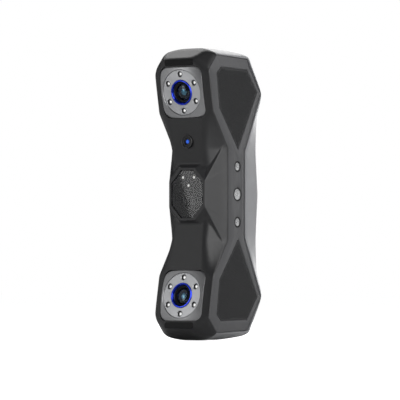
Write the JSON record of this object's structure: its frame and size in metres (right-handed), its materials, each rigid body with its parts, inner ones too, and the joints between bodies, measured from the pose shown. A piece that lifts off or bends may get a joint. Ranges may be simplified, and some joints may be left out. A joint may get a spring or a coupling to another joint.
{
  "type": "handheld 3d scanner",
  "caption": "Vertical handheld 3D scanner with a toed-in camera and ring light at each end, a central projector window, a colour camera, side grip pads and push buttons.",
  "frame": {"origin": "centre of the flat lower end, on the surface that it stands on", "axes": "+Z along the length to the upper camera, -Y out of the optical face, +X to the side with the buttons"},
  "size_m": [0.05, 0.073, 0.215],
  "materials": {
    "front_shell": "fine satin moulded plastic",
    "rear_shell": "satin silver-grey moulded plastic",
    "side_cover": "satin moulded plastic",
    "grip_pad": "fine diagonal grip texture",
    "camera_bezel": "satin anodised",
    "ring_disc": "fine blasted and anodised",
    "trim_ring": "bright blue anodised",
    "lens_barrel": "black, stepped",
    "lens_glass": "coated lens",
    "circuit_board": "solder mask",
    "led": "clear dome",
    "module_body": "black, moulded",
    "bench_metal": "machined",
    "screw_steel": "plated",
    "ribbon": "polyimide film",
    "end_strip": "dark, semi-gloss",
    "window_glass": "clear coated cover glass",
    "window_mask": "dark mask",
    "projector_lens": "coated lens",
    "standoff_brass": "turned",
    "chip": "moulded package",
    "thermal_pad": "soft pad",
    "connector_steel": "plated shell",
    "port_plate": "blasted",
    "button_metal": "satin, dished",
    "button_ring": "black"
  },
  "bodies": {
    "scanner_body": {"front_shell": "front_shell", "rear_shell": "rear_shell", "right_side_cover": "side_cover", "left_side_cover": "side_cover", "right_upper_grip_pad": "grip_pad", "right_lower_grip_pad": "grip_pad", "left_upper_grip_pad": "grip_pad", "left_lower_grip_pad": "grip_pad", "upper_camera_bezel": "camera_bezel", "lower_camera_bezel": "camera_bezel", "upper_light_ring_disc": "ring_disc", "lower_light_ring_disc": "ring_disc", "upper_lens_trim_ring": "trim_ring", "lower_lens_trim_ring": "trim_ring", "upper_lens_barrel": "lens_barrel", "lower_lens_barrel": "lens_barrel", "upper_lens_glass": "lens_glass", "lower_lens_glass": "lens_glass", "upper_led_board": "circuit_board", "lower_led_board": "circuit_board", "upper_ring_leds": "led", "lower_ring_leds": "led", "upper_camera_module": "module_body", "lower_camera_module": "module_body", "upper_camera_bracket": "bench_metal", "lower_camera_bracket": "bench_metal", "upper_camera_screws": "screw_steel", "lower_camera_screws": "screw_steel", "upper_camera_cable": "ribbon", "lower_camera_cable": "ribbon", "upper_end_strip": "end_strip", "lower_end_strip": "end_strip", "colour_camera_bezel": "lens_barrel", "colour_camera_lens": "lens_glass", "colour_camera_module": "module_body", "window_glass": "window_glass", "window_mask": "window_mask", "flash_leds": "led", "flash_led_board": "circuit_board", "projector_module": "module_body", "projector_lens": "projector_lens", "optical_bench": "bench_metal", "bench_screws": "screw_steel", "main_board": "circuit_board", "board_standoffs": "standoff_brass", "board_screws": "screw_steel", "board_chips": "chip", "thermal_pad": "thermal_pad", "heat_sink": "bench_metal", "usb_connector": "connector_steel", "port_plate": "port_plate", "button_rings": "button_ring", "button_board": "circuit_board", "tact_switches": "chip", "shell_screws": "screw_steel"},
    "scan_button": {"scan_button": "button_metal"},
    "upper_button": {"upper_button": "button_metal"},
    "lower_button": {"lower_button": "button_metal"}
  },
  "joints": [
    {"name": "scan_button_press", "type": "slide", "parent": "scanner_body", "child": "scan_button", "axis": [-1, 0, 0], "range_m": [0, 0.00035], "stiffness_N_per_m": 3000},
    {"name": "upper_button_press", "type": "slide", "parent": "scanner_body", "child": "upper_button", "axis": [-1, 0, 0], "range_m": [0, 0.00035], "stiffness_N_per_m": 3000},
    {"name": "lower_button_press", "type": "slide", "parent": "scanner_body", "child": "lower_button", "axis": [-1, 0, 0], "range_m": [0, 0.00035], "stiffness_N_per_m": 3000}
  ]
}
